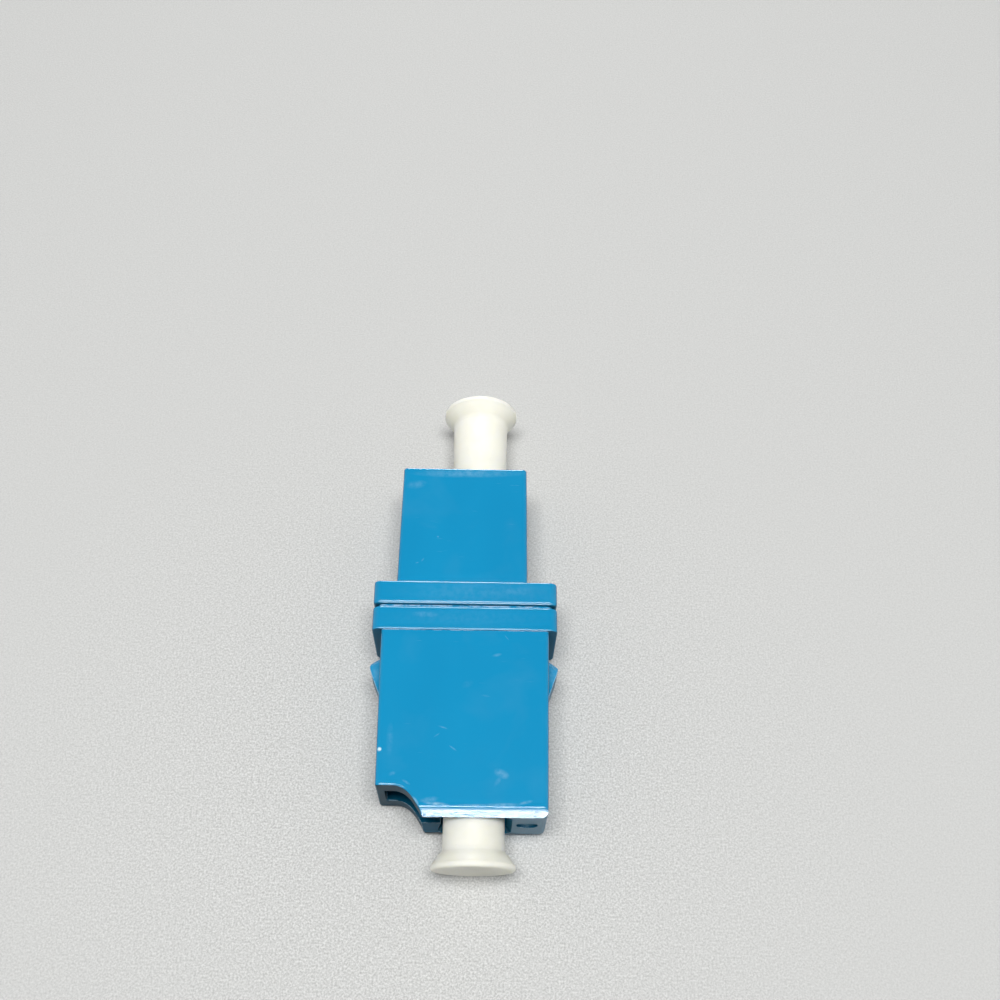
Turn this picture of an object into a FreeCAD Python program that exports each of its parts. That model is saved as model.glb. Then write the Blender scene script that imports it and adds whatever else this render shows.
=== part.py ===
import FreeCAD, Part
import math
import os

# A simplex LC fibre adapter (in-line coupler) with both of its dust caps fitted.
# Two moulded half-housings are welded to each other at the middle of the flange.
# Each half holds one socket for an LC plug and half of the holder for a slit
# ceramic sleeve, which lines the two ferrules up.  It lies on one broad side, as
# it does on a bench: +Z up, the sockets' common axis along Y, the latch side
# towards -X.  The origin is on the surface it lies on (Z = 0), under the centre
# of the flange, and Y = 0 is the weld plane and the plane where ferrules meet.
#
# All lengths in millimetres.

# ---- driving dimensions ------------------------------------------------------
AXIS_X = 0.88            # socket axis, off the flange's centre, away from the latch
AXIS_Z = 3.10            # half of the flange's thickness

FLANGE_HALF_W = 6.65     # flange, across the latch side
FLANGE_T = 6.20          # flange, broad side to broad side
FLANGE_FRONT = -1.90     # face of the front half of the flange
FLANGE_REAR = 1.83       # face of the rear half of the flange
FLANGE_CORNER_R = 0.55
FLANGE_EDGE_R = 0.10
FLANGE_LIP_R = 0.22      # softer edge of the rear half, beside the seam
SEAM_FRONT = -0.18       # shadow gap round the weld, front side
SEAM_REAR = 0.09         # and rear side
SEAM_DEPTH = 0.35        # and its depth

BODY_Z0 = 0.14           # the bodies stand back a little from the flange
BODY_Z1 = 6.06
MOUTH_Z0 = 0.22          # and draw in towards their mouths
MOUTH_Z1 = 5.98
BODY_CORNER_R = 0.30

FRONT_END = -15.05       # mouth plane of the front socket
FRONT_ROOT_X = (-5.975, 6.035)   # sides at the flange
FRONT_END_X = (-5.80, 5.88)      # sides at the mouth, after draft
FRONT_BEVEL = 0.50       # bevel round the mouth's broad edges
FRONT_BEVEL_BLEND = 0.32
FRONT_CORNER_R = 0.45    # upright corner beside the mouth

CUT_FACE_Y = -13.08      # the latch-side wall ends here, short of the mouth
CUT_SWEEP = ((-4.66, -13.08), (-4.02, -13.23), (-3.53, -13.58), (-3.17, -14.03),
             (-2.90, -14.43), (-2.73, -14.73), (-2.69, -14.89))
CUT_NOSE_R = 0.20        # where the cut turns into the mouth plane
CUT_EDGE_R = 0.12

REAR_END = 11.35
REAR_ROOT_X = (-5.03, 4.50)
REAR_END_X = (-4.91, 4.47)
REAR_EDGE_R = 0.10

PORT = 4.62              # square socket for the plug's nose
PORT_R = 0.55
PORT_LEAD = 0.30         # lead-in at the mouth, sideways
PORT_LEAD_Z = 0.03       # and towards the thin broad walls
WEB_HALF = 1.90          # the plug's nose stops against this web

SLOT_HALF = 1.30         # latch slot between the two ledges
SLOT_LEAD = 0.85         # lead-in of the slot at the front mouth
SLOT_LEAD_DEPTH = 0.45
CATCH_Y = 8.00           # inner ends of the ledges, where the latch holds
FRONT_SLOT_X = -5.28     # bottom of the latch slot and pocket, front
REAR_SLOT_X = -4.33      # and rear

BARB_Z = (1.90, 4.30)    # panel barbs on both sides of the front body

BARREL_R = 1.45          # sleeve holder
BARREL_END = 4.60
BORE_R = 0.85            # room for the floating sleeve
LIP_Y = 3.50             # inner face of the lip that keeps the sleeve in
LIP_R = 0.70             # its narrowest place, opening outwards as a funnel
LIP_MOUTH_R = 1.02

SLEEVE_R = 0.81
SLEEVE_BORE_R = 0.6245
SLEEVE_HALF = 3.40
SLEEVE_SLIT = 0.20

CAP_TIP = 2.10           # inner end of the cap's tube
CAP_TIP_R = 1.92
CAP_MOUTH_R = 2.05       # where the rear tube leaves the housing
CAP_MOUTH_Y = 11.30
CAP_NECK_R = 2.14        # at the foot of the flare
CAP_NECK_Y = 16.40
CAP_HEAD_R = 2.90
CAP_HEAD_Y = 17.70       # widest place of the head
CAP_END = 17.93
CAP_RIM_R = 0.20
CAP_BORE_R = 1.50
CAP_BORE_END = 13.2
CAP_DISH_R = 2.15        # shallow dish in the head
CAP_DISH = 0.20
CAP_BEND_HALF = 0.25      # length of even tube on each side of the bend
# The soft caps sag until their heads touch the surface the adapter lies on:
# (distance of the bend from the weld plane, angle, how far the cap stands out)
FRONT_SAG = (15.10, 4.2, 0.17)
REAR_SAG = (13.85, 2.5, 0.105)


def vec(x, y, z):
    return FreeCAD.Vector(x, y, z)


def rounded_section(y, x0, x1, z0, z1, r):
    """Closed wire: a rectangle with round corners, square to the Y axis."""
    k = r * (1.0 - math.sqrt(0.5))
    e = [
        Part.LineSegment(vec(x0 + r, y, z0), vec(x1 - r, y, z0)),
        Part.Arc(vec(x1 - r, y, z0), vec(x1 - k, y, z0 + k), vec(x1, y, z0 + r)),
        Part.LineSegment(vec(x1, y, z0 + r), vec(x1, y, z1 - r)),
        Part.Arc(vec(x1, y, z1 - r), vec(x1 - k, y, z1 - k), vec(x1 - r, y, z1)),
        Part.LineSegment(vec(x1 - r, y, z1), vec(x0 + r, y, z1)),
        Part.Arc(vec(x0 + r, y, z1), vec(x0 + k, y, z1 - k), vec(x0, y, z1 - r)),
        Part.LineSegment(vec(x0, y, z1 - r), vec(x0, y, z0 + r)),
        Part.Arc(vec(x0, y, z0 + r), vec(x0 + k, y, z0 + k), vec(x0 + r, y, z0)),
    ]
    return Part.Wire([c.toShape() for c in e])


def taper(y0, s0, y1, s1, r0, r1=None):
    """Straight-sided solid between two rounded sections (x0, x1, z0, z1)."""
    a = rounded_section(y0, *s0, r0)
    b = rounded_section(y1, *s1, r0 if r1 is None else r1)
    return Part.makeLoft([a, b], True, True)


def box(x0, x1, y0, y1, z0, z1):
    return Part.makeBox(x1 - x0, y1 - y0, z1 - z0, vec(x0, y0, z0))


def plan_prism(points, z0, z1):
    """Upright prism from a closed list of (x, y) points."""
    p = [vec(x, y, z0) for x, y in points]
    return Part.Face(Part.makePolygon(p + [p[0]])).extrude(vec(0, 0, z1 - z0))


def tube_y(r, y0, y1, x=AXIS_X, z=AXIS_Z):
    return Part.makeCylinder(r, y1 - y0, vec(x, y0, z), vec(0, 1, 0))


def cone_y(r0, r1, y0, y1, x=AXIS_X, z=AXIS_Z):
    return Part.makeCone(r0, r1, y1 - y0, vec(x, y0, z), vec(0, 1, 0))


# ---- flange halves -----------------------------------------------------------
def flange_half(y_in, y_out, r_in):
    """Half of the flange, its rim standing back from the weld plane.

    r_in rounds the edge beside the seam, FLANGE_EDGE_R the outer one."""
    lo, hi = min(y_in, y_out), max(y_in, y_out)
    s = (-FLANGE_HALF_W, FLANGE_HALF_W, 0.0, FLANGE_T)
    plate = taper(lo, s, hi, s, FLANGE_CORNER_R)
    for y, r in ((y_in, r_in), (y_out, FLANGE_EDGE_R)):
        rim = [
            e for e in plate.Edges
            if e.BoundBox.YLength < 1e-4 and abs(e.BoundBox.YMin - y) < 1e-4
        ]
        plate = plate.makeFillet(r, rim)
    return plate


def weld_land(y0, y1):
    d = SEAM_DEPTH
    s = (-FLANGE_HALF_W + d, FLANGE_HALF_W - d, d, FLANGE_T - d)
    return taper(y0, s, y1, s, FLANGE_CORNER_R - 0.1)


# ---- front body: outside -----------------------------------------------------
def front_outside():
    y0 = FLANGE_FRONT + 0.4
    s0 = (FRONT_ROOT_X[0], FRONT_ROOT_X[1], BODY_Z0, BODY_Z1)
    s1 = (FRONT_END_X[0], FRONT_END_X[1], MOUTH_Z0, MOUTH_Z1)
    solid = taper(FRONT_END, s1, y0, s0, BODY_CORNER_R)
    draft = (BODY_Z1 - MOUTH_Z1) / (y0 - FRONT_END)

    # bevels along the mouth's two broad edges, blended into the broad sides
    b, r = FRONT_BEVEL, FRONT_BEVEL_BLEND
    t = r * math.tan(math.radians(22.5))
    for top in (True, False):
        k = 1.0 if top else -1.0
        ya = FRONT_END + b + t
        zs = (MOUTH_Z1 if top else MOUTH_Z0) + k * draft * (b + t)
        yb = FRONT_END + b - t * math.cos(math.radians(45))
        zb = zs - k * t * math.sin(math.radians(45))
        ym = FRONT_END + b + t - r * math.sin(math.radians(22.5))
        zm = zs - k * r * (1 - math.cos(math.radians(22.5)))
        x = -8.0
        wire = Part.Wire(
            [
                Part.Arc(vec(x, ya, zs), vec(x, ym, zm), vec(x, yb, zb)).toShape(),
                Part.LineSegment(
                    vec(x, yb, zb), vec(x, FRONT_END - 0.2, zs - k * (b + 0.2))
                ).toShape(),
                Part.LineSegment(
                    vec(x, FRONT_END - 0.2, zs - k * (b + 0.2)),
                    vec(x, FRONT_END - 0.2, zs + k * 1.0),
                ).toShape(),
                Part.LineSegment(
                    vec(x, FRONT_END - 0.2, zs + k * 1.0), vec(x, ya, zs + k * 1.0)
                ).toShape(),
                Part.LineSegment(vec(x, ya, zs + k * 1.0), vec(x, ya, zs)).toShape(),
            ]
        )
        tool = Part.Face(wire).extrude(vec(16, 0, 0))
        tool.rotate(vec(0, ya, zs), vec(1, 0, 0), k * math.degrees(math.atan(draft)))
        solid = solid.cut(tool)

    # upright corner on the far side from the latch
    r = FRONT_CORNER_R
    x1 = FRONT_END_X[1] + 0.004
    corner = Part.Wire(
        [
            Part.Arc(
                vec(x1 - r, FRONT_END, -1),
                vec(x1 - r + r * math.sin(math.pi / 4), FRONT_END + r - r * math.cos(math.pi / 4), -1),
                vec(x1, FRONT_END + r, -1),
            ).toShape(),
            Part.LineSegment(vec(x1, FRONT_END + r, -1), vec(x1 + 1, FRONT_END + r, -1)).toShape(),
            Part.LineSegment(vec(x1 + 1, FRONT_END + r, -1), vec(x1 + 1, FRONT_END - 1, -1)).toShape(),
            Part.LineSegment(vec(x1 + 1, FRONT_END - 1, -1), vec(x1 - r, FRONT_END - 1, -1)).toShape(),
            Part.LineSegment(vec(x1 - r, FRONT_END - 1, -1), vec(x1 - r, FRONT_END, -1)).toShape(),
        ]
    )
    solid = solid.cut(Part.Face(corner).extrude(vec(0, 0, 9)))
    return solid


def latch_cut():
    """The swept cut at the latch-side corner that leaves room for a finger."""
    z0 = -1.0
    pts = [vec(x, y, z0) for x, y in CUT_SWEEP]
    sweep = Part.BSplineCurve()
    end = vec(0.20, -0.98, 0)
    end.normalize()
    sweep.interpolate(Points=pts, InitialTangent=vec(1.0, 0, 0), FinalTangent=end * 0.6)
    # the flank turns into the mouth plane round a small nose
    r = (pts[-1].y - FRONT_END) / (1.0 + end.x)
    r = min(r, CUT_NOSE_R * 2.0)
    left = vec(-end.y, end.x, 0)
    c = pts[-1] + left * r
    q0 = math.atan2(pts[-1].y - c.y, pts[-1].x - c.x)
    q1 = -math.pi / 2
    if q0 > 0:
        q0 -= 2 * math.pi
    qm = 0.5 * (q0 + q1)
    nose = Part.Arc(pts[-1], c + vec(r * math.cos(qm), r * math.sin(qm), 0), c + vec(0, -r, 0))
    nx, ny = c.x, c.y - r
    wire = Part.Wire(
        [
            Part.LineSegment(vec(-9, CUT_FACE_Y, z0), pts[0]).toShape(),
            sweep.toShape(),
            nose.toShape(),
            Part.LineSegment(vec(nx, ny, z0), vec(nx, FRONT_END - 2, z0)).toShape(),
            Part.LineSegment(vec(nx, FRONT_END - 2, z0), vec(-9, FRONT_END - 2, z0)).toShape(),
            Part.LineSegment(vec(-9, FRONT_END - 2, z0), vec(-9, CUT_FACE_Y, z0)).toShape(),
        ]
    )
    return Part.Face(wire).extrude(vec(0, 0, 9)), nx


def barb(side):
    """Panel barb: a steep catch towards the flange, a long run-in to the mouth."""
    if side < 0:
        pts = [(-5.6, -3.25), (-5.95, -3.38), (-6.30, -3.56), (-6.56, -3.75),
               (-6.72, -3.92), (-6.77, -4.09), (-6.72, -4.36), (-6.60, -4.76),
               (-6.35, -5.38), (-6.10, -6.00), (-5.97, -6.34), (-5.6, -7.0)]
    else:
        pts = [(5.6, -3.11), (5.95, -3.36), (6.25, -3.58), (6.62, -3.85),
               (6.73, -3.95), (6.77, -4.07), (6.71, -4.34), (6.60, -4.72),
               (6.40, -5.26), (6.12, -6.08), (6.04, -6.36), (5.6, -7.0)]
    solid = plan_prism(pts, BARB_Z[0], BARB_Z[1])
    # the catch's upper and lower edges are bevelled back towards the tip
    s = 1.0 if side > 0 else -1.0
    for top in (True, False):
        zs = BARB_Z[1] if top else BARB_Z[0]
        k = 1.0 if top else -1.0
        ref = (pts[1], pts[2])
        dx, dy = ref[1][0] - ref[0][0], ref[1][1] - ref[0][1]
        n = math.hypot(dx, dy)
        ux, uy = dx / n, dy / n
        # outward normal of the catch face, towards the flange
        px, py = (-uy * s, ux * s)
        if py < 0:
            px, py = -px, -py
        c = 0.28
        a = vec(ref[0][0] - ux * 1.0, ref[0][1] - uy * 1.0, zs)
        # a ridge-shaped cutter whose slanted face bevels the edge
        cut = Part.Face(
            Part.makePolygon(
                [
                    a + vec(-px * c, -py * c, 0),
                    a + vec(0, 0, -k * c),
                    a + vec(px * c, py * c, -k * 2 * c),
                    a + vec(px * c, py * c, k * c),
                    a + vec(-px * c, -py * c, k * c),
                    a + vec(-px * c, -py * c, 0),
                ]
            )
        ).extrude(vec(ux * 4.0, uy * 4.0, 0))
        solid = solid.cut(cut)
    return solid


# ---- sockets: inside ---------------------------------------------------------
def socket_space(sign, y_end, slot_x, lead):
    """Everything that one plug, its latch and the holder's surroundings need.

    sign is -1 for the front socket and +1 for the rear one."""
    h = PORT / 2.0
    px0, px1 = AXIS_X - h, AXIS_X + h
    pz0, pz1 = AXIS_Z - h, AXIS_Z + h
    yb = sign * WEB_HALF if sign < 0 else FLANGE_REAR
    s = (px0, px1, pz0, pz1)
    y_far = y_end + sign * 0.5
    lo, hi = min(yb, y_far), max(yb, y_far)
    space = taper(lo, s, hi, s, PORT_R)

    # lead-in round the mouth
    depth = 0.45
    big = (px0 - PORT_LEAD, px1 + PORT_LEAD, pz0 - PORT_LEAD_Z, pz1 + PORT_LEAD_Z)
    f = taper(y_end, big, y_end - sign * depth, s, PORT_R + 0.15, PORT_R)
    space = space.fuse(f)

    # latch slot between the ledges, from the catch to the mouth
    z0, z1 = AXIS_Z - SLOT_HALF, AXIS_Z + SLOT_HALF
    lo, hi = min(sign * CATCH_Y, y_far), max(sign * CATCH_Y, y_far)
    space = space.fuse(box(slot_x, AXIS_X, lo - 0.01, hi, z0, z1))

    # latch pocket behind the ledges
    lo, hi = min(yb, sign * CATCH_Y), max(yb, sign * CATCH_Y)
    space = space.fuse(box(slot_x, AXIS_X, lo, hi, pz0, pz1))

    # lead-in of the slot: its two ledges open towards the mouth
    if lead:
        d, g = SLOT_LEAD_DEPTH, SLOT_LEAD
        for k in (1.0, -1.0):
            zz = AXIS_Z + k * SLOT_HALF
            p = [
                vec(slot_x, y_end - sign * d, zz),
                vec(slot_x, y_end + sign * 0.3, zz + k * g * (d + 0.3) / d),
                vec(slot_x, y_end + sign * 0.3, AXIS_Z),
                vec(slot_x, y_end - sign * d, AXIS_Z),
            ]
            w = Part.Face(Part.makePolygon(p + [p[0]])).extrude(vec(AXIS_X - slot_x, 0, 0))
            space = space.fuse(w)
    return space.removeSplitter()


def holder_half(sign):
    """Barrel that stands on the web and keeps one half of the sleeve."""
    lo, hi = sorted((sign * (WEB_HALF - 0.3), sign * BARREL_END))
    barrel = tube_y(BARREL_R, lo, hi)
    end = [
        e for e in barrel.Edges
        if e.BoundBox.YLength < 1e-4 and abs(e.BoundBox.YMin - sign * BARREL_END) < 1e-4
    ]
    return barrel.makeChamfer(0.25, end)


def holder_bore(sign):
    lo, hi = sorted((-sign * 0.5, sign * LIP_Y))
    bore = tube_y(BORE_R, lo, hi)
    # the lip opens outwards as one funnel, which also guides the ferrule in
    slope = (LIP_MOUTH_R - LIP_R) / (BARREL_END - LIP_Y)
    a, b = LIP_Y - 0.1, BARREL_END + 0.1
    ra, rb = LIP_R - 0.1 * slope, LIP_MOUTH_R + 0.1 * slope
    if sign > 0:
        return bore.fuse(cone_y(ra, rb, a, b))
    return bore.fuse(cone_y(rb, ra, -b, -a))


# ---- front housing -----------------------------------------------------------
def front_housing():
    body = front_outside()
    cutter, nose_x = latch_cut()
    body = body.cut(cutter)

    # soft outer edges of the cut, on both broad sides
    def on_cut(b):
        flat = b.ZLength < 0.05 and (b.ZMin > MOUTH_Z1 - 0.05 or b.ZMax < MOUTH_Z0 + 0.05)
        return flat and b.XMax < nose_x + 0.02 and b.YMax < CUT_FACE_Y + 0.02
    try:
        es = [e for e in body.Edges if on_cut(e.BoundBox) and e.Length > 0.4]
        print("cut edges to soften:", len(es))
        soft = body.makeFillet(CUT_EDGE_R, es)
        if soft.isValid() and soft.Volume > 0:
            body = soft
        else:
            print("cut edges left sharp")
    except Exception as err:
        print("cut edges left sharp:", err)

    body = body.fuse(barb(-1)).fuse(barb(1))
    h = body.fuse(flange_half(SEAM_FRONT, FLANGE_FRONT, FLANGE_EDGE_R)).fuse(weld_land(SEAM_FRONT - 0.2, 0.0))
    h = h.removeSplitter()

    h = h.cut(socket_space(-1, FRONT_END, FRONT_SLOT_X, True))
    h = h.fuse(holder_half(-1))
    h = h.cut(holder_bore(-1))

    # shallow round ejector mark beside the socket
    h = h.cut(tube_y(0.75, FRONT_END - 0.5, FRONT_END + 0.16, 4.53, 3.28))
    return h.removeSplitter()


# ---- rear housing ------------------------------------------------------------
def rear_housing():
    y0 = FLANGE_REAR - 0.4
    s0 = (REAR_ROOT_X[0], REAR_ROOT_X[1], BODY_Z0, BODY_Z1)
    s1 = (REAR_END_X[0], REAR_END_X[1], MOUTH_Z0, MOUTH_Z1)
    body = taper(y0, s0, REAR_END, s1, BODY_CORNER_R)
    rim = [
        e for e in body.Edges
        if e.BoundBox.YLength < 1e-4 and abs(e.BoundBox.YMin - REAR_END) < 1e-4
    ]
    try:
        soft = body.makeFillet(REAR_EDGE_R, rim)
        body = soft if soft.isValid() else body
    except Exception as err:
        print("rear rim left sharp:", err)

    h = body.fuse(flange_half(SEAM_REAR, FLANGE_REAR, FLANGE_LIP_R)).fuse(weld_land(0.0, SEAM_REAR + 0.3))
    h = h.removeSplitter()
    h = h.cut(socket_space(1, REAR_END, REAR_SLOT_X, False))
    h = h.fuse(holder_half(1))
    h = h.cut(holder_bore(1))
    return h.removeSplitter()


# ---- slit sleeve -------------------------------------------------------------
def slit_sleeve():
    s = tube_y(SLEEVE_R, -SLEEVE_HALF, SLEEVE_HALF)
    rims = [e for e in s.Edges if e.BoundBox.YLength < 1e-4]
    s = s.makeChamfer(0.06, rims)
    s = s.cut(tube_y(SLEEVE_BORE_R, -SLEEVE_HALF - 1, SLEEVE_HALF + 1))
    g = SLEEVE_SLIT / 2.0
    return s.cut(box(AXIS_X - g, AXIS_X + g, -5, 5, AXIS_Z, AXIS_Z + 2))


# ---- dust caps ---------------------------------------------------------------
def dust_cap(sign, sag):
    """One-piece push-in cap: a tube over the sleeve holder and a flared head.

    The part outside the socket leans down by a small angle, mitred at the bend.
    """
    y_b, angle, out = sag
    def p(r, y):
        return vec(AXIS_X + r, sign * y, AXIS_Z)

    lead = 0.35
    e = []
    # bore, from its blind end to the open tip
    e.append(Part.LineSegment(p(0, CAP_BORE_END + 0.35), p(CAP_BORE_R - 0.5, CAP_BORE_END + 0.35)))
    e.append(Part.LineSegment(p(CAP_BORE_R - 0.5, CAP_BORE_END + 0.35), p(CAP_BORE_R, CAP_BORE_END - 0.15)))
    e.append(Part.LineSegment(p(CAP_BORE_R, CAP_BORE_END - 0.15), p(CAP_BORE_R, CAP_TIP + 0.25)))
    e.append(Part.LineSegment(p(CAP_BORE_R, CAP_TIP + 0.25), p(CAP_BORE_R + 0.15, CAP_TIP)))
    # tip and outside of the tube
    e.append(Part.LineSegment(p(CAP_BORE_R + 0.15, CAP_TIP), p(CAP_TIP_R - 0.18, CAP_TIP)))
    e.append(Part.LineSegment(p(CAP_TIP_R - 0.18, CAP_TIP), p(CAP_TIP_R, CAP_TIP + lead)))
    e.append(Part.LineSegment(p(CAP_TIP_R, CAP_TIP + lead), p(CAP_MOUTH_R, CAP_MOUTH_Y)))
    r_b = CAP_MOUTH_R + (CAP_NECK_R - CAP_MOUTH_R) * (y_b - CAP_MOUTH_Y) / (CAP_NECK_Y - CAP_MOUTH_Y)
    y_0, y_1 = y_b - CAP_BEND_HALF, y_b + CAP_BEND_HALF
    e.append(Part.LineSegment(p(CAP_MOUTH_R, CAP_MOUTH_Y), p(r_b, y_0)))
    e.append(Part.LineSegment(p(r_b, y_0), p(r_b, y_1)))
    e.append(Part.LineSegment(p(r_b, y_1), p(CAP_NECK_R, CAP_NECK_Y)))
    # flare, widest place and rounded rim
    flare = Part.BSplineCurve()
    flare.interpolate(
        Points=[
            p(CAP_NECK_R, CAP_NECK_Y),
            p(2.22, 16.73),
            p(2.43, 16.93),
            p(2.56, 17.12),
            p(2.69, 17.31),
            p(2.81, 17.50),
            p(CAP_HEAD_R, CAP_HEAD_Y),
        ],
        InitialTangent=vec(0.018, sign * 1.0, 0),
        FinalTangent=vec(0, sign * 1.0, 0),
    )
    e.append(flare)
    rr = CAP_RIM_R
    e.append(Part.LineSegment(p(CAP_HEAD_R, CAP_HEAD_Y), p(CAP_HEAD_R, CAP_END - rr)))
    q = rr * (1 - math.sqrt(0.5))
    e.append(Part.Arc(p(CAP_HEAD_R, CAP_END - rr), p(CAP_HEAD_R - q, CAP_END - q), p(CAP_HEAD_R - rr, CAP_END)))
    # dish in the head
    e.append(Part.LineSegment(p(CAP_HEAD_R - rr, CAP_END), p(CAP_DISH_R, CAP_END)))
    rs = (CAP_DISH_R ** 2 + CAP_DISH ** 2) / (2.0 * CAP_DISH)
    half = 0.5 * math.asin(CAP_DISH_R / rs)
    e.append(Part.Arc(p(CAP_DISH_R, CAP_END),
                      p(rs * math.sin(half), CAP_END - CAP_DISH + rs * (1 - math.cos(half))),
                      p(0, CAP_END - CAP_DISH)))
    e.append(Part.LineSegment(p(0, CAP_END - CAP_DISH), p(0, CAP_BORE_END + 0.35)))
    face = Part.Face(Part.Wire([c.toShape() for c in e]))
    cap = face.revolve(vec(AXIS_X, 0, AXIS_Z), vec(0, 1, 0), 360)
    if cap.Volume < 0:
        cap = cap.reversed()
    # bend: the even tube is mitred, so both sections meet in the same ellipse
    pivot = vec(AXIS_X, sign * y_b, AXIS_Z)
    far = sign * (y_b + 12.0)
    outside = box(-9, 11, min(sign * y_b, far), max(sign * y_b, far), -7, 13)
    outside.rotate(pivot, vec(1, 0, 0), -sign * angle / 2.0)
    leaning = cap.copy()
    leaning.rotate(pivot, vec(1, 0, 0), -sign * angle)
    bent = cap.cut(outside).fuse(leaning.common(outside))
    bent.translate(vec(0, sign * out, 0))
    return bent


def main():
    os.makedirs("parts", exist_ok=True)
    nodes = {
        "front_housing": front_housing(),
        "rear_housing": rear_housing(),
        "alignment_sleeve": slit_sleeve(),
        "front_dust_cap": dust_cap(-1, FRONT_SAG),
        "rear_dust_cap": dust_cap(1, REAR_SAG),
    }
    for name, shape in nodes.items():
        solids = shape.Solids
        if len(solids) != 1:
            print("WARNING", name, "has", len(solids), "solids")
        s = solids[0] if len(solids) == 1 else shape
        if s.Volume < 0:
            s = s.reversed()
        s.exportStep("parts/%s.step" % name)
        b = s.BoundBox
        print(
            "%-18s valid %s  volume %.2f mm3  x %.2f..%.2f  y %.2f..%.2f  z %.2f..%.2f"
            % (name, s.isValid(), s.Volume, b.XMin, b.XMax, b.YMin, b.YMax, b.ZMin, b.ZMax)
        )


main()
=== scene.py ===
import math

import bpy
from mathutils import Matrix, Vector

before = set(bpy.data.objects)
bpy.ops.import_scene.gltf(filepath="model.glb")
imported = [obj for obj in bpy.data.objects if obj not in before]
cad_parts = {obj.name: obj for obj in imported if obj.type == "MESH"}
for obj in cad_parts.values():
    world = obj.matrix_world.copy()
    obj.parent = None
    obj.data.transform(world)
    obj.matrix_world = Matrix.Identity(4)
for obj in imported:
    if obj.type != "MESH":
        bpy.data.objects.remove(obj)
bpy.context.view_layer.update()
MM = 0.001
scene = bpy.context.scene


# ---- node helpers ------------------------------------------------------------
class Nodes:
    def __init__(self, name):
        self.mat = bpy.data.materials.new(name)
        self.mat.use_nodes = True
        self.t = self.mat.node_tree
        self.t.nodes.clear()
        self.out = self.t.nodes.new("ShaderNodeOutputMaterial")
        self.bsdf = self.t.nodes.new("ShaderNodeBsdfPrincipled")
        self.t.links.new(self.bsdf.outputs[0], self.out.inputs[0])
        self.coord = self.t.nodes.new("ShaderNodeTexCoord")

    def set(self, **k):
        for name, v in k.items():
            self.bsdf.inputs[name.replace("_", " ")].default_value = v

    def link(self, a, b):
        self.t.links.new(a, b)

    def mapped(self, scale=(1, 1, 1), loc=(0, 0, 0), rot=(0, 0, 0)):
        m = self.t.nodes.new("ShaderNodeMapping")
        m.inputs["Scale"].default_value = scale
        m.inputs["Location"].default_value = loc
        m.inputs["Rotation"].default_value = rot
        self.link(self.coord.outputs["Object"], m.inputs["Vector"])
        return m.outputs[0]

    def noise(self, vec, scale, detail=3.0, rough=0.55, distort=0.0):
        n = self.t.nodes.new("ShaderNodeTexNoise")
        n.inputs["Scale"].default_value = scale
        n.inputs["Detail"].default_value = detail
        n.inputs["Roughness"].default_value = rough
        n.inputs["Distortion"].default_value = distort
        self.link(vec, n.inputs["Vector"])
        return n.outputs["Fac"]

    def voronoi(self, vec, scale, feature="F1", rand=1.0):
        n = self.t.nodes.new("ShaderNodeTexVoronoi")
        n.feature = feature
        n.inputs["Scale"].default_value = scale
        n.inputs["Randomness"].default_value = rand
        self.link(vec, n.inputs["Vector"])
        return n

    def ramp(self, fac, *stops):
        r = self.t.nodes.new("ShaderNodeValToRGB")
        e = r.color_ramp.elements
        while len(e) < len(stops):
            e.new(0.5)
        for el, (p, c) in zip(e, stops):
            el.position = p
            el.color = (c, c, c, 1) if isinstance(c, (int, float)) else (*c, 1)
        self.link(fac, r.inputs[0])
        return r.outputs[0]

    def span(self, fac, a, b, c=0.0, d=1.0):
        m = self.t.nodes.new("ShaderNodeMapRange")
        m.clamp = True
        for i, v in enumerate((a, b, c, d)):
            m.inputs[i + 1].default_value = v
        self.link(fac, m.inputs[0])
        return m.outputs[0]

    def math(self, op, a, b=None, clamp=False):
        m = self.t.nodes.new("ShaderNodeMath")
        m.operation = op
        m.use_clamp = clamp
        for i, v in enumerate((a, b)):
            if v is None:
                continue
            if isinstance(v, (int, float)):
                m.inputs[i].default_value = v
            else:
                self.link(v, m.inputs[i])
        return m.outputs[0]

    def mix(self, fac, a, b, kind="MIX"):
        m = self.t.nodes.new("ShaderNodeMix")
        m.data_type = "RGBA"
        m.blend_type = kind
        for i, v in ((0, fac), (6, a), (7, b)):
            if isinstance(v, (int, float)):
                m.inputs[i].default_value = v
            elif isinstance(v, tuple):
                m.inputs[i].default_value = (*v, 1)
            else:
                self.link(v, m.inputs[i])
        return m.outputs[2]

    def bump(self, height, distance, strength=1.0, normal=None):
        b = self.t.nodes.new("ShaderNodeBump")
        b.inputs["Distance"].default_value = distance
        b.inputs["Strength"].default_value = strength
        self.link(height, b.inputs["Height"])
        if normal is not None:
            self.link(normal, b.inputs["Normal"])
        return b.outputs[0]

    def edge(self, radius, samples=6):
        """0 on flat ground, rising on edges and corners tighter than radius."""
        b = self.t.nodes.new("ShaderNodeBevel")
        b.samples = samples
        b.inputs["Radius"].default_value = radius
        g = self.t.nodes.new("ShaderNodeNewGeometry")
        d = self.t.nodes.new("ShaderNodeVectorMath")
        d.operation = "DOT_PRODUCT"
        self.link(b.outputs[0], d.inputs[0])
        self.link(g.outputs["Normal"], d.inputs[1])
        return self.math("SUBTRACT", 1.0, d.outputs["Value"])


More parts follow.
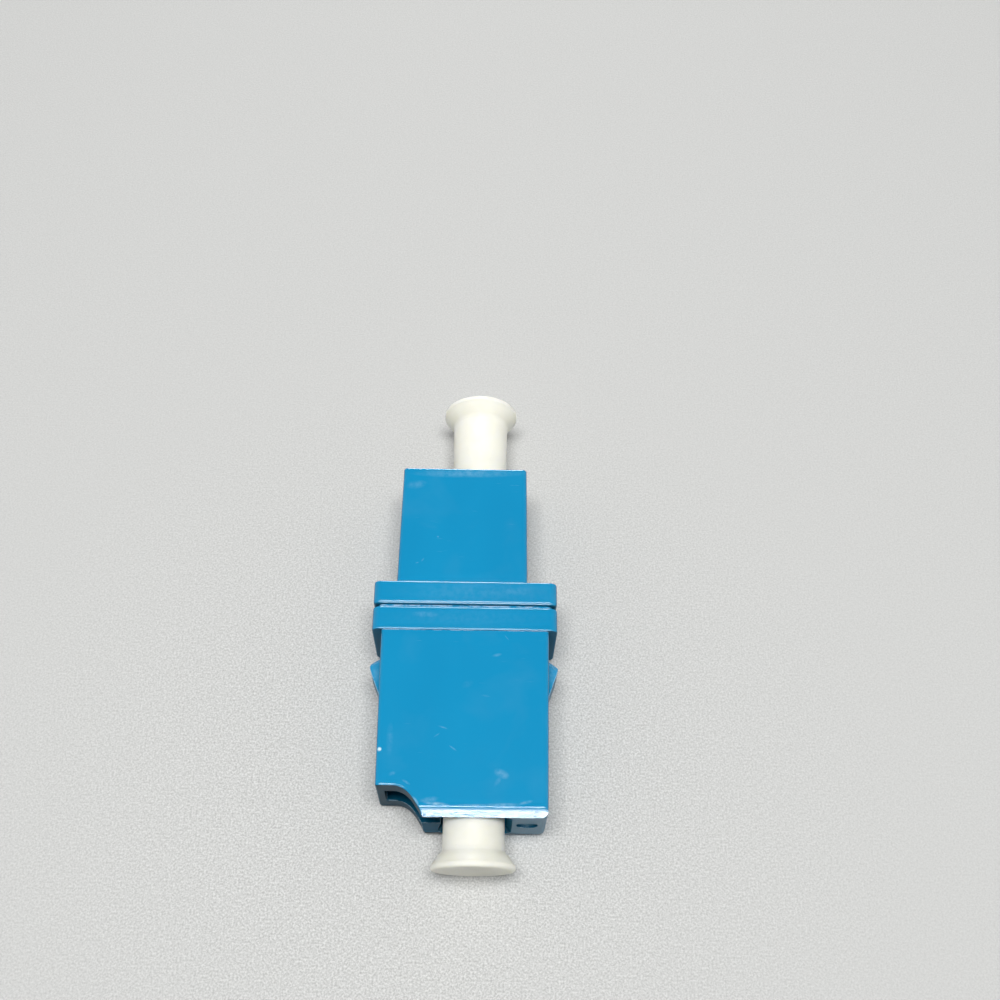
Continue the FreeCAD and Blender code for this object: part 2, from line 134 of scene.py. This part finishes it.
# ---- materials ---------------------------------------------------------------
# Scuffs mixed with painted sheen and glints on the top side of the blue mouldings: x, y, half length, half width (mm),
# turn (degrees), strength
FRONT_SCUFFS_AND_SHEEN = [
    (2.72, -12.22, 0.62, 0.34, -25, 0.20),
    (2.45, -12.75, 0.45, 0.20, 60, 0.12),
    (-1.34, -9.05, 0.42, 0.07, -18, 0.18),
    (-1.75, -9.60, 0.30, 0.06, 35, 0.12),
    (-0.62, -10.50, 0.38, 0.07, -35, 0.16),
    (-4.95, -9.90, 0.28, 1.30, 0, 0.06),
    (-3.72, -12.86, 0.36, 0.10, -30, 0.26),
    (-4.70, -12.30, 0.30, 0.16, 20, 0.12),
    (-2.10, -14.02, 0.70, 0.22, 8, 0.18),
    (-5.65, -10.63, 0.19, 0.17, 0, 1.8),
    (3.02, -2.44, 0.28, 0.05, -50, 0.22),
    (2.32, -3.75, 0.40, 0.14, 15, 0.14),
    (-2.80, -0.78, 1.25, 0.30, -2, 0.11),
    (4.30, -14.15, 0.60, 0.12, 14, 0.26),
    (0.80, -14.35, 1.80, 0.10, 1, 0.22),
    (0.30, -5.90, 0.50, 0.30, 30, 0.04),
    (-3.25, -14.15, 0.55, 0.32, -40, 0.75),
    (-1.60, -14.30, 1.00, 0.16, -6, 0.45),
    (2.60, -14.32, 1.60, 0.14, 2, 0.30),
    (0.00, -1.00, 6.80, 1.00, 0, 0.03),
    (-6.35, -4.60, 0.50, 1.30, 0, 0.10),
    (6.35, -4.60, 0.50, 1.30, 0, 0.10),
]
REAR_SCUFFS_AND_SHEEN = [
    (3.60, 1.10, 1.70, 0.50, 2, 0.08),
    (-2.14, 5.50, 0.09, 0.07, 0, 0.30),
    (-3.20, 3.60, 0.22, 0.06, 55, 0.14),
    (-3.60, 3.35, 0.16, 0.06, 20, 0.14),
    (0.10, 10.95, 4.60, 0.42, 1, 0.16),
    (-3.90, 9.90, 0.90, 0.40, 10, 0.09),
    (1.00, 1.00, 7.00, 1.20, 0, 0.05),
]


def blue_plastic(name, seed, scuffs_and_sheen_at):
    """Moulded PBT: semi-gloss, slightly wavy, with faint flow lines, scuffs and rubbed edges, plus painted sheen,
    painted edge highlights and painted shade on the upright walls and in the hollows.
    """
    n = Nodes(name)
    base = n.mapped(loc=(seed * 0.013, seed * 0.007, seed * 0.003))
    flow = n.noise(n.mapped((1.0, 0.35, 1.0), loc=(seed * 0.011, 0, 0)), 160.0, 2.0, 0.5, 0.3)
    colour = n.mix(n.span(flow, 0.30, 0.70), (0.001, 0.237, 0.464), (0.002, 0.255, 0.490))

    # soft cloudy haze, hardly there
    haze = n.span(n.noise(base, 210.0, 3.0, 0.55, 0.4), 0.52, 0.80)
    colour = n.mix(n.math("MULTIPLY", haze, 0.05), colour, (0.30, 0.50, 0.62))

    # scuffs where hands and panels have touched it, mixed with painted sheen and glints: soft pale patches on the top
    # faces broken up by fine noise
    grit = n.span(n.noise(base, 2600.0, 3.0, 0.65), 0.36, 0.62)
    scuff_and_sheen = None
    for x, y, rx, ry, turn, strength in scuffs_and_sheen_at:
        c, q = math.cos(math.radians(turn)), math.sin(math.radians(turn))
        m = n.t.nodes.new("ShaderNodeMapping")
        m.vector_type = "TEXTURE"
        m.inputs["Location"].default_value = (x * 0.001, y * 0.001, 0.0)
        m.inputs["Rotation"].default_value = (0, 0, math.radians(turn))
        m.inputs["Scale"].default_value = (rx * 0.001, ry * 0.001, 1.0)
        n.link(n.coord.outputs["Object"], m.inputs["Vector"])
        flat = n.t.nodes.new("ShaderNodeVectorMath")
        flat.operation = "MULTIPLY"
        flat.inputs[1].default_value = (1, 1, 0)
        n.link(m.outputs[0], flat.inputs[0])
        far = n.t.nodes.new("ShaderNodeVectorMath")
        far.operation = "LENGTH"
        n.link(flat.outputs[0], far.inputs[0])
        spot = n.span(far.outputs["Value"], 0.15, 1.0, strength, 0.0)
        scuff_and_sheen = spot if scuff_and_sheen is None else n.math("MAXIMUM", scuff_and_sheen, spot)
    up = n.t.nodes.new("ShaderNodeNewGeometry")
    z = n.t.nodes.new("ShaderNodeSeparateXYZ")
    n.link(up.outputs["Normal"], z.inputs[0])
    scuff_and_sheen = n.math("MULTIPLY", scuff_and_sheen, n.span(z.outputs[2], 0.5, 0.9))
    scuff_and_sheen = n.math("MULTIPLY", scuff_and_sheen, n.math("ADD", n.math("MULTIPLY", grit, 0.7), 0.3))
    colour = n.mix(scuff_and_sheen, colour, (0.55, 0.78, 0.90))

    # short hairline scratches: long thin cells, kept only where a slow noise allows
    marks = None
    for rot, sc, lo in ((0.35, (420.0, 5200.0, 900.0), 0.0), (-0.8, (520.0, 5600.0, 900.0), 0.37), (1.45, (480.0, 5400.0, 900.0), 0.71)):
        v = n.voronoi(n.mapped(sc, loc=(seed + lo, lo, 0), rot=(0, 0, rot)), 1.0)
        near = n.span(v.outputs["Distance"], 0.02, 0.14, 1.0, 0.0)
        gate = n.span(n.noise(n.mapped(loc=(lo, seed * 0.02, lo)), 330.0, 1.0), 0.60, 0.70)
        m = n.math("MULTIPLY", near, gate)
        marks = m if marks is None else n.math("MAXIMUM", marks, m)
    colour = n.mix(n.math("MULTIPLY", marks, 0.16), colour, (0.30, 0.55, 0.72))

    # painted shade: the upright walls and the insides are darkened in colour where little light reaches them, and made
    # rougher and less glossy, but for the broad right-hand end face at the front mouth, which keeps more gloss
    wall_shade_and_matte = n.span(n.math("ABSOLUTE", z.outputs[2]), 0.25, 0.55, 1.0, 0.0)
    px = n.t.nodes.new("ShaderNodeSeparateXYZ")
    n.link(n.coord.outputs["Object"], px.inputs[0])
    right = n.math("MULTIPLY", n.span(px.outputs[0], 0.0022, 0.0034), n.span(px.outputs[1], -0.0146, -0.0142, 1.0, 0.0))
    clean = n.math("MULTIPLY", right, n.span(z.outputs[1], -0.80, -0.50, 1.0, 0.0))
    colour = n.mix(wall_shade_and_matte, colour, (0.003, 0.125, 0.225))
    # deep in the cut-away corner and the socket hardly any light comes back
    deep = n.math("MULTIPLY", n.span(px.outputs[0], -0.0012, -0.0009, 1.0, 0.0), n.span(px.outputs[1], -0.0082, -0.0072, 1.0, 0.0))
    deep = n.math("MULTIPLY", deep, n.math("MAXIMUM", wall_shade_and_matte, n.span(px.outputs[2], 0.0040, 0.0046, 1.0, 0.0)))
    deep = n.math("MULTIPLY", deep, n.span(px.outputs[0], -0.0059, -0.0057))
    colour = n.mix(n.math("MULTIPLY", deep, 0.82), colour, (0.002, 0.030, 0.052))
    # rim of the ejector mark in that end face, which lies in its own shade
    pit = n.math("MULTIPLY", right, n.span(px.outputs[2], 0.0040, 0.0043, 1.0, 0.0))
    pit = n.math("MULTIPLY", pit, n.span(z.outputs[2], 0.20, 0.40))
    colour = n.mix(n.math("MULTIPLY", pit, 0.85), colour, (0.002, 0.045, 0.080))

    # edges rubbed pale together with painted edge highlights on the upward-facing edges, broken up by noise
    rub_and_highlight = n.span(n.edge(0.00013, 8), 0.02, 0.16)
    broken = n.span(n.noise(base, 1700.0, 3.0, 0.65), 0.43, 0.58)
    rub_and_highlight = n.math("MULTIPLY", rub_and_highlight, broken)
    rub_and_highlight = n.math("MULTIPLY", rub_and_highlight, n.span(z.outputs[2], 0.15, 0.55))
    colour = n.mix(n.math("MULTIPLY", rub_and_highlight, 0.45), colour, (0.72, 0.88, 0.97))
    n.link(colour, n.bsdf.inputs["Base Color"])

    rough = n.span(n.noise(base, 700.0, 3.0), 0.3, 0.7, 0.092, 0.122)
    rough = n.math("ADD", rough, n.math("MULTIPLY", scuff_and_sheen, 0.35))
    rough = n.math("ADD", rough, n.math("MULTIPLY", marks, 0.05))
    rough = n.math("ADD", rough, n.math("MULTIPLY", wall_shade_and_matte, 0.26))
    n.link(rough, n.bsdf.inputs["Roughness"])
    low = n.math("MULTIPLY", n.span(clean, 0.0, 1.0, 0.09, 0.44), n.span(deep, 0.0, 1.0, 1.0, 0.55))
    spec = n.t.nodes.new("ShaderNodeMix")
    n.link(wall_shade_and_matte, spec.inputs[0])
    spec.inputs[2].default_value = 0.5
    n.link(low, spec.inputs[3])
    n.link(spec.outputs[0], n.bsdf.inputs["Specular IOR Level"])

    wave = n.noise(n.mapped(loc=(seed * 0.005, seed * 0.009, 0)), 170.0, 1.0, 0.5)
    h = n.bump(wave, 0.00006, 0.5)
    peel = n.noise(base, 1300.0, 2.0, 0.5)
    h = n.bump(peel, 0.000006, 0.35, h)
    h = n.bump(n.math("MULTIPLY", marks, -1.0), 0.000004, 0.5, h)
    chew = n.math("MULTIPLY", n.span(n.edge(0.00022), 0.01, 0.12), n.noise(base, 3200.0, 3.0, 0.7))
    h = n.bump(chew, 0.000012, 0.5, h)
    # the bevel over the front mouth is knocked and uneven
    bevel = n.math("MULTIPLY", n.span(z.outputs[2], 0.45, 0.60), n.span(px.outputs[1], -0.0144, -0.0142, 1.0, 0.0))
    h = n.bump(n.math("MULTIPLY", bevel, n.noise(base, 2100.0, 3.0, 0.6)), 0.000055, 0.70, h)
    n.link(h, n.bsdf.inputs["Normal"])
    n.set(IOR=1.50)
    return n.mat


def cap_plastic(name, seed, light_gain):
    """Natural polyethylene: milky, lets light in, waxy skin."""
    n = Nodes(name)
    base = n.mapped(loc=(seed * 0.017, seed * 0.005, seed * 0.009))
    cloud = n.span(n.noise(base, 260.0, 3.0), 0.32, 0.68)
    # the colour is scaled by the gain: painted light and painted shade on one and the same plastic
    tones = [tuple(light_gain * c for c in t) for t in ((0.800, 0.790, 0.700), (0.840, 0.835, 0.765))]
    colour = n.mix(cloud, *tones)
    speck = n.voronoi(base, 1500.0)
    dust = n.span(speck.outputs["Distance"], 0.03, 0.09, 1.0, 0.0)
    dust = n.math("MULTIPLY", dust, n.span(n.noise(base, 420.0, 1.0), 0.60, 0.66))
    colour = n.mix(n.math("MULTIPLY", dust, 0.30), colour, (0.55, 0.54, 0.50))
    n.link(colour, n.bsdf.inputs["Base Color"])
    rough = n.span(n.noise(base, 900.0, 3.0), 0.3, 0.7, 0.36, 0.48)
    n.link(rough, n.bsdf.inputs["Roughness"])
    h = n.bump(n.noise(base, 1500.0, 3.0, 0.6), 0.000010, 0.4)
    # fine turning rings left by the mould's core and cavity, across the axis
    rings = n.noise(n.mapped((12.0, 2600.0, 12.0), loc=(0, seed, 0)), 1.0, 2.0, 0.5)
    h = n.bump(rings, 0.000004, 0.5, h)
    n.link(h, n.bsdf.inputs["Normal"])
    n.bsdf.subsurface_method = "RANDOM_WALK"
    n.set(IOR=1.50, Specular_IOR_Level=0.22, Subsurface_Weight=0.80, Subsurface_Scale=0.0007, Subsurface_Radius=(1.0, 0.95, 0.75))
    return n.mat


def ceramic(name):
    """Polished white zirconia with faint lengthwise honing."""
    n = Nodes(name)
    base = n.mapped()
    colour = n.mix(n.span(n.noise(base, 800.0, 2.0), 0.35, 0.65), (0.86, 0.84, 0.78), (0.91, 0.90, 0.86))
    n.link(colour, n.bsdf.inputs["Base Color"])
    hone = n.noise(n.mapped((9000.0, 120.0, 9000.0)), 1.0, 2.0)
    n.link(n.span(hone, 0.3, 0.7, 0.08, 0.16), n.bsdf.inputs["Roughness"])
    n.link(n.bump(hone, 0.000002, 0.5), n.bsdf.inputs["Normal"])
    n.set(IOR=2.1)
    return n.mat


def pale_floor(name):
    n = Nodes(name)
    base = n.mapped()
    grain = n.noise(base, 7400.0, 2.0, 0.65)
    # the grain stands out more around the object
    off = n.t.nodes.new("ShaderNodeVectorMath")
    off.operation = "DISTANCE"
    off.inputs[1].default_value = (-0.003, -0.012, 0.0)
    n.link(base, off.inputs[0])
    near = n.span(off.outputs["Value"], 0.012, 0.036, 1.0, 0.0)
    spread = n.span(grain, 0.30, 0.70)
    calm = n.mix(spread, (0.492, 0.495, 0.485), (0.582, 0.585, 0.575))
    harsh = n.mix(spread, (0.392, 0.395, 0.386), (0.692, 0.695, 0.684))
    colour = n.mix(near, calm, harsh)
    n.link(colour, n.bsdf.inputs["Base Color"])
    n.link(n.bump(grain, 0.00006, 0.25), n.bsdf.inputs["Normal"])
    n.set(Roughness=0.70, IOR=1.45, Specular_IOR_Level=0.10)
    return n.mat


mats = {
    "front_housing": blue_plastic("blue_front", 1.0, FRONT_SCUFFS_AND_SHEEN),
    "rear_housing": blue_plastic("blue_rear", 4.0, REAR_SCUFFS_AND_SHEEN),
    "alignment_sleeve": ceramic("zirconia"),
    # painted shade on the front cap and painted light on the rear cap: both caps are the same plastic
    "front_dust_cap": cap_plastic("cap_front", 2.0, 0.95),
    "rear_dust_cap": cap_plastic("cap_rear", 5.0, 1.04),
}
for node, mat in mats.items():
    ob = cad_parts[node]
    if not ob.material_slots:
        ob.data.materials.append(mat)
    for s in ob.material_slots:
        s.material = mat


# ---- floor -------------------------------------------------------------------
def make_floor():
    size, cells = 1.6, 8
    verts, faces = [], []
    for j in range(cells + 1):
        for i in range(cells + 1):
            verts.append(((i / cells - 0.5) * size, (j / cells - 0.5) * size, -0.00001))
    for j in range(cells):
        for i in range(cells):
            a = j * (cells + 1) + i
            faces.append((a, a + 1, a + cells + 2, a + cells + 1))
    me = bpy.data.meshes.new("floor")
    me.from_pydata(verts, [], faces)
    ob = bpy.data.objects.new("floor", me)
    scene.collection.objects.link(ob)
    me.materials.append(pale_floor("floor_paper"))
    return ob


make_floor()


# ---- light -------------------------------------------------------------------
def studio_world():
    """Dim even room: a little brighter at the sides and overhead than in front."""
    world = bpy.data.worlds.new("studio")
    scene.world = world
    world.use_nodes = True
    t = world.node_tree
    bg = t.nodes["Background"]
    co = t.nodes.new("ShaderNodeTexCoord")
    d = t.nodes.new("ShaderNodeSeparateXYZ")
    t.links.new(co.outputs["Generated"], d.inputs[0])
    r = t.nodes.new("ShaderNodeMapRange")
    for i, v in enumerate((-0.75, 0.10, 0.10, 0.20)):
        r.inputs[i + 1].default_value = v
    t.links.new(d.outputs[1], r.inputs[0])
    side = t.nodes.new("ShaderNodeMath")
    side.operation = "MULTIPLY"
    t.links.new(d.outputs[0], side.inputs[0])
    t.links.new(d.outputs[0], side.inputs[1])
    light_gain = t.nodes.new("ShaderNodeMath")
    light_gain.operation = "MULTIPLY_ADD"
    t.links.new(side.outputs[0], light_gain.inputs[0])
    light_gain.inputs[1].default_value = 0.35
    t.links.new(r.outputs[0], light_gain.inputs[2])
    t.links.new(light_gain.outputs[0], bg.inputs[1])
    bg.inputs[0].default_value = (1.0, 1.0, 1.0, 1)


studio_world()


def soft_box(name, direction, distance, size, radiance, colour=(1, 1, 1), fill=True):
    """Area light that faces the object and has the given radiance.

    Without fill it's a panel that only shows as a reflection in glossy surfaces."""
    target = (0, 0, 0.003)
    d = Vector(direction).normalized()
    light = bpy.data.lights.new(name, "AREA")
    light.shape = "RECTANGLE"
    light.size, light.size_y = size
    light.energy = radiance * math.pi * size[0] * size[1]
    light.color = colour
    ob = bpy.data.objects.new(name, light)
    ob.location = Vector(target) + d * distance
    ob.rotation_mode = "QUATERNION"
    ob.rotation_quaternion = (-d).to_track_quat("-Z", "Y")
    ob.visible_camera = False
    ob.visible_diffuse = fill
    scene.collection.objects.link(ob)
    return ob


soft_box("overhead", (0.0, -0.065, 0.998), 0.50, (0.306, 0.130), 21.3)
soft_box("front_strip", (0.02, -0.974, 0.229), 0.70, (0.205, 0.110), 30.0, (1.0, 0.99, 0.98), fill=False)
soft_box("front_panel", (0.0, -0.809, 0.588), 0.70, (1.000, 0.400), 6.5, fill=False)
soft_box("back_panel", (0.0, 0.891, 0.454), 0.60, (0.190, 0.400), 19.0, fill=False)


# ---- camera ------------------------------------------------------------------
def make_camera():
    pitch, roll, yaw = math.radians(62.25), math.radians(2.52), math.radians(-1.79)
    fwd = Vector((0, math.cos(pitch), -math.sin(pitch)))
    right = Vector((1, 0, 0))
    up = right.cross(fwd)
    r2 = right * math.cos(roll) + up * math.sin(roll)
    u2 = r2.cross(fwd)
    turn = Matrix.Rotation(yaw, 3, "Z")
    r2, u2, fwd = turn @ r2, turn @ u2, turn @ fwd
    m = Matrix((r2, u2, -fwd)).transposed().to_4x4()
    m.translation = Vector((1.10, -34.20, 87.54)) * MM
    data = bpy.data.cameras.new("camera")
    data.sensor_fit = "HORIZONTAL"
    data.sensor_width = 36.0
    data.lens = 1219.6 / 1000.0 * 36.0
    data.clip_start, data.clip_end = 0.002, 20.0
    ob = bpy.data.objects.new("camera", data)
    scene.collection.objects.link(ob)
    ob.matrix_world = m
    scene.camera = ob


make_camera()
scene.view_settings.view_transform = "Standard"
scene.view_settings.look = "None"
